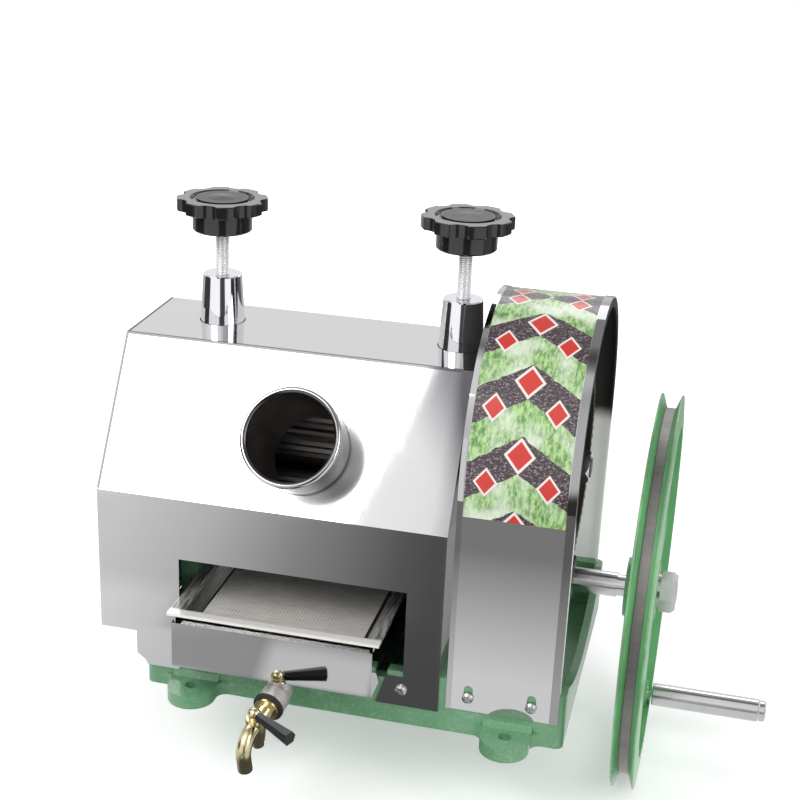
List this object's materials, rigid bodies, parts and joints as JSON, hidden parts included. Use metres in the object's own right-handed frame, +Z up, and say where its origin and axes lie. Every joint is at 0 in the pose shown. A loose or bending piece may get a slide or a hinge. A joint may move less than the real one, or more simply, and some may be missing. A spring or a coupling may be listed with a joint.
{
  "type": "manual sugarcane juicer",
  "caption": "Bench-bolted hand cranked press with three fluted rollers, geared hand wheel, feed tube, screw-loaded top roller, sieve, juice tray and tap.",
  "frame": {"origin": "centre of the four bench bolt holes, on the underside of the base", "axes": "+Z up, +X along the rollers towards the hand wheel, -Y towards the feeding side with the tray and tap"},
  "size_m": [0.6655, 0.4623, 0.5694],
  "materials": {
    "green_enamel": "gloss green enamel",
    "wheel_enamel": "gloss green enamel with a bare groove",
    "frame_enamel": "gloss green enamel",
    "frame_iron": "machined iron",
    "roller_steel": "turned stainless",
    "stainless_sheet": "polished stainless sheet",
    "gear_iron": "oiled dark iron",
    "bright_chrome": "bright plated",
    "turned_steel": "turned steel",
    "bush_bronze": "bronze",
    "knob_plastic": "black phenolic",
    "sleeve_steel": "polished tube",
    "tap_brass": "polished brass",
    "lever_plastic": "black plastic",
    "seal_rubber": "black rubber"
  },
  "bodies": {
    "machine_frame": {"base_casting": "green_enamel", "left_side_frame": "frame_enamel", "right_side_frame": "frame_enamel", "frame_foot_bolts": "turned_steel", "left_frame_cap": "frame_iron", "right_frame_cap": "frame_iron", "frame_cap_bolts": "turned_steel", "roller_casing": "stainless_sheet", "casing_screws": "bright_chrome", "feed_tube": "stainless_sheet", "gear_cover": "stainless_sheet", "gear_cover_screws": "bright_chrome", "turner_plate": "roller_steel", "discharge_chute": "stainless_sheet", "lower_roller_bushes": "bush_bronze", "drive_shaft_bushes": "bush_bronze", "left_cone_bush": "bright_chrome", "right_cone_bush": "bright_chrome"},
    "top_bearings": {"left_bearing_block": "turned_steel", "right_bearing_block": "turned_steel", "top_roller_bushes": "bush_bronze"},
    "top_roller_set": {"top_roller": "roller_steel", "top_roller_gear": "gear_iron", "top_gear_circlip": "turned_steel", "big_gear": "gear_iron", "big_gear_key": "turned_steel", "big_gear_nut": "turned_steel"},
    "front_roller_set": {"front_lower_roller": "roller_steel", "front_roller_gear": "gear_iron", "front_gear_circlip": "turned_steel"},
    "rear_roller_set": {"rear_lower_roller": "roller_steel", "rear_roller_gear": "gear_iron", "rear_gear_circlip": "turned_steel"},
    "crank_set": {"drive_shaft": "turned_steel", "drive_pinion": "gear_iron", "pinion_key": "turned_steel", "shaft_collar": "turned_steel", "hand_wheel": "wheel_enamel", "wheel_key": "turned_steel", "wheel_set_screw": "bright_chrome", "wheel_washer": "turned_steel", "wheel_nut": "turned_steel", "handle_spindle": "bright_chrome", "spindle_nut": "turned_steel", "handle_end_cap": "bright_chrome"},
    "handle_grip": {"handle_sleeve": "sleeve_steel"},
    "left_pad": {"left_thrust_pad": "turned_steel"},
    "left_screw": {"left_pressure_screw": "bright_chrome", "left_star_knob": "knob_plastic"},
    "right_pad": {"right_thrust_pad": "turned_steel"},
    "right_screw": {"right_pressure_screw": "bright_chrome", "right_star_knob": "knob_plastic"},
    "tray_set": {"juice_tray": "stainless_sheet", "outlet_elbow": "stainless_sheet", "tap_washer": "seal_rubber", "tap_body": "tap_brass"},
    "tap_handle": {"tap_plug": "tap_brass", "tap_lever": "lever_plastic"},
    "sieve_set": {"sieve_frame": "stainless_sheet", "sieve_mesh": "stainless_sheet"}
  },
  "joints": [
    {"name": "crank_turn", "type": "hinge", "parent": "machine_frame", "child": "crank_set", "pos_m": [0.2, 0, 0.107], "axis": [1, 0, 0], "continuous": true},
    {"name": "handle_spin", "type": "hinge", "parent": "crank_set", "child": "handle_grip", "pos_m": [0.34, 0.04942, -0.04244], "axis": [1, 0, 0], "continuous": true},
    {"name": "top_roller_lift", "type": "slide", "parent": "machine_frame", "child": "top_bearings", "axis": [0, 0, 1], "range_m": [0, 0.0025]},
    {"name": "top_roller_turn", "type": "hinge", "parent": "top_bearings", "child": "top_roller_set", "pos_m": [0, 0, 0.232], "axis": [1, 0, 0], "continuous": true},
    {"name": "front_roller_turn", "type": "hinge", "parent": "machine_frame", "child": "front_roller_set", "pos_m": [0, -0.0435, 0.16968], "axis": [1, 0, 0], "continuous": true},
    {"name": "rear_roller_turn", "type": "hinge", "parent": "machine_frame", "child": "rear_roller_set", "pos_m": [0, 0.0435, 0.16968], "axis": [1, 0, 0], "continuous": true},
    {"name": "left_screw_travel", "type": "slide", "parent": "machine_frame", "child": "left_pad", "axis": [0, 0, 1], "range_m": [-0.00251, 0.02001]},
    {"name": "left_knob_turn", "type": "hinge", "parent": "left_pad", "child": "left_screw", "pos_m": [-0.184, 0, 0.3], "axis": [0, 0, 1], "range_deg": [-450, 3600]},
    {"name": "right_screw_travel", "type": "slide", "parent": "machine_frame", "child": "right_pad", "axis": [0, 0, 1], "range_m": [-0.00751, 0.01501]},
    {"name": "right_knob_turn", "type": "hinge", "parent": "right_pad", "child": "right_screw", "pos_m": [0.064, 0, 0.3], "axis": [0, 0, 1], "range_deg": [-1350, 2700]},
    {"name": "tray_slide", "type": "slide", "parent": "machine_frame", "child": "tray_set", "axis": [0, -1, 0], "range_m": [-0.01, 0.15]},
    {"name": "sieve_lift", "type": "slide", "parent": "tray_set", "child": "sieve_set", "axis": [0, 0, 1], "range_m": [0, 0.025]},
    {"name": "tap_lever_turn", "type": "hinge", "parent": "tray_set", "child": "tap_handle", "pos_m": [-0.07183, -0.22809, 0.02019], "axis": [-0.0361, -0.2048, 0.9781], "range_deg": [-69, 21]}
  ],
  "couplings": [
    {"joint": "top_roller_turn", "follows": "crank_turn", "ratio": -0.2029},
    {"joint": "front_roller_turn", "follows": "crank_turn", "ratio": 0.2029},
    {"joint": "rear_roller_turn", "follows": "crank_turn", "ratio": 0.2029},
    {"joint": "left_screw_travel", "follows": "left_knob_turn", "m_per_rad": 0.00031831},
    {"joint": "right_screw_travel", "follows": "right_knob_turn", "m_per_rad": 0.00031831}
  ]
}
